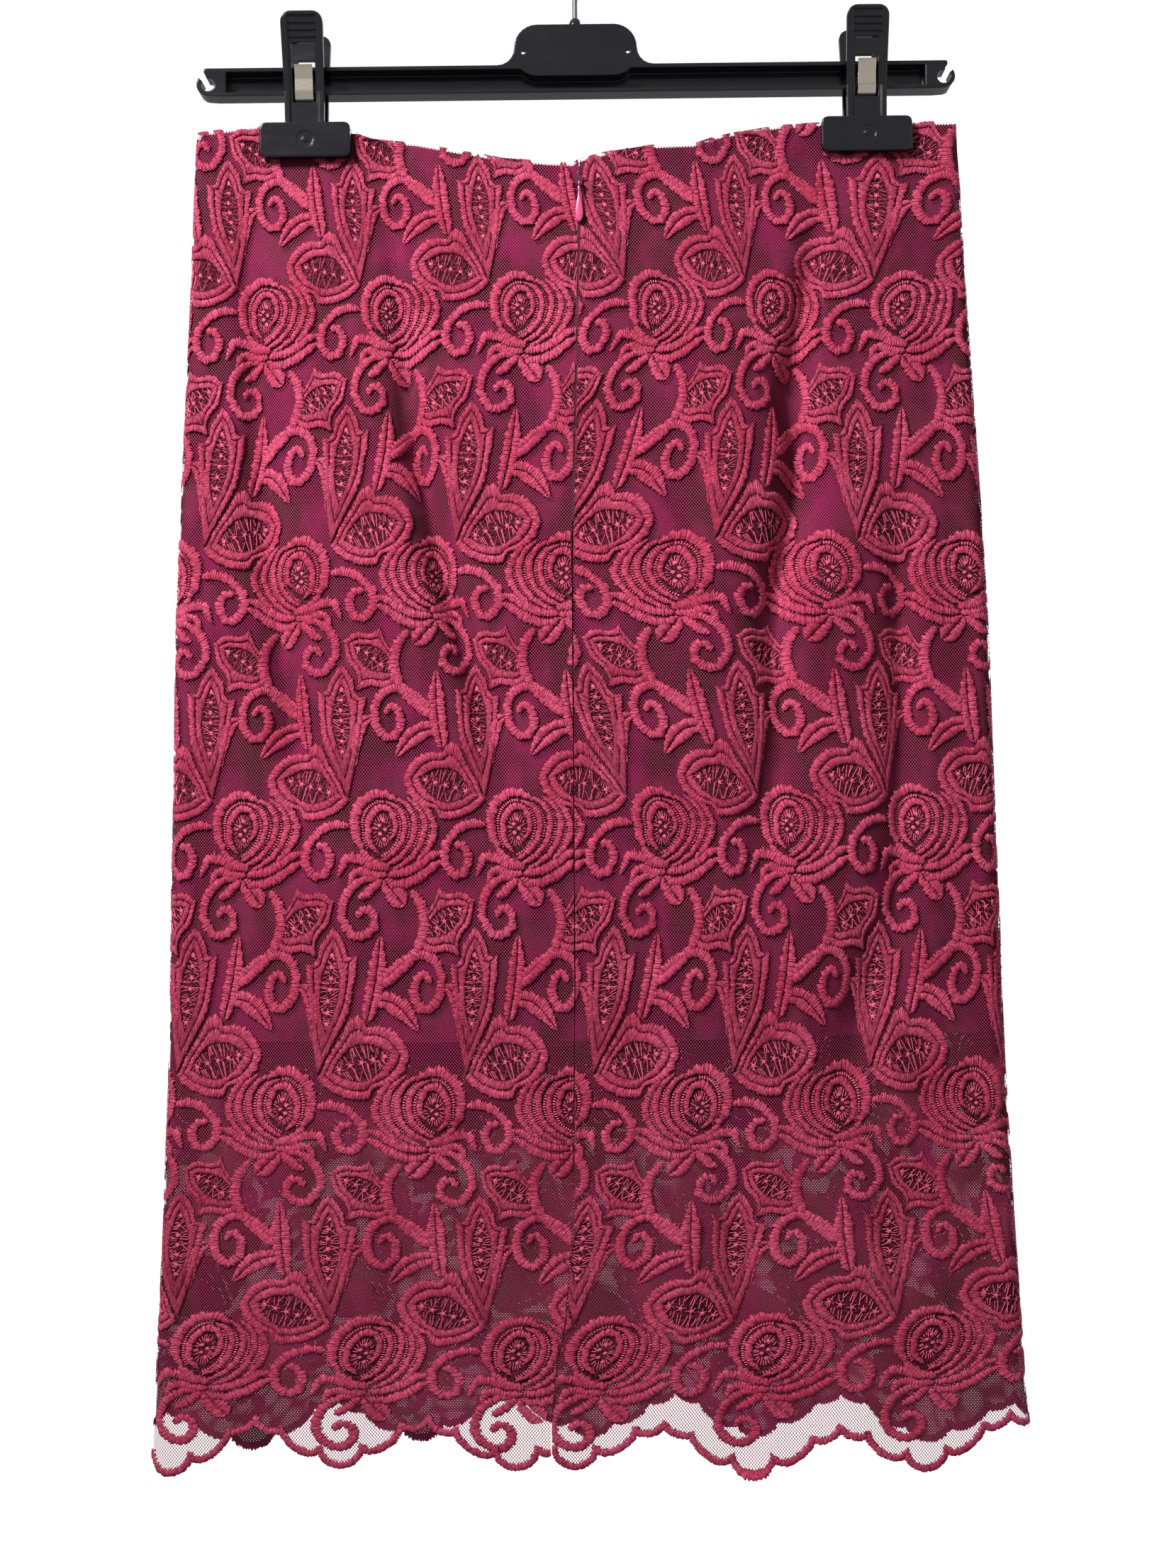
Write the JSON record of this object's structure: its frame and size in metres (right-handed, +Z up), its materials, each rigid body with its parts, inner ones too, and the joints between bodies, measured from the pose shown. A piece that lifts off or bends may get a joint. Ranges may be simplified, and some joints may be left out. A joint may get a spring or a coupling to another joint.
{
  "type": "lace pencil skirt on clip hanger",
  "caption": "Knee-length embroidered lace pencil skirt with lining and back zip, held by its waist on a clip hanger with a wire hook.",
  "frame": {"origin": "inner crown of the hanger's hook, where it rests on a rail", "axes": "+Z up; the back of the skirt, with its zip, faces -Y; +X is to the right seen from that side"},
  "size_m": [0.4097, 0.0448, 0.74],
  "materials": {
    "lace": "satin-stitch embroidery on fine net",
    "lining": "smooth jersey, soft sheen",
    "zip_enamel": "glossy enamel",
    "zip_metal": "satin",
    "hanger_plastic": "moulded, glossy with fine scratches",
    "hook_steel": "bright wire",
    "clip_nickel": "nickel-plated strip"
  },
  "bodies": {
    "skirt": {"back_left": "lace", "back_right": "lace", "front": "lace", "lining_back_left": "lining", "lining_back_right": "lining", "lining_front": "lining", "zip_chain": "zip_enamel", "zip_slider": "zip_metal", "hanger_bar": "hanger_plastic", "hook": "hook_steel", "clip_left_front_jaw": "hanger_plastic", "clip_left_back_jaw": "hanger_plastic", "clip_left_spring": "clip_nickel", "clip_right_front_jaw": "hanger_plastic", "clip_right_back_jaw": "hanger_plastic", "clip_right_spring": "clip_nickel"},
    "zip_pull": {"zip_pull": "zip_enamel"}
  },
  "joints": [
    {"name": "zip_pull_hinge", "type": "hinge", "parent": "skirt", "child": "zip_pull", "pos_m": [0.00099, -0.01081, -0.143], "axis": [-1, 0, 0], "range_deg": [0, 150]}
  ]
}
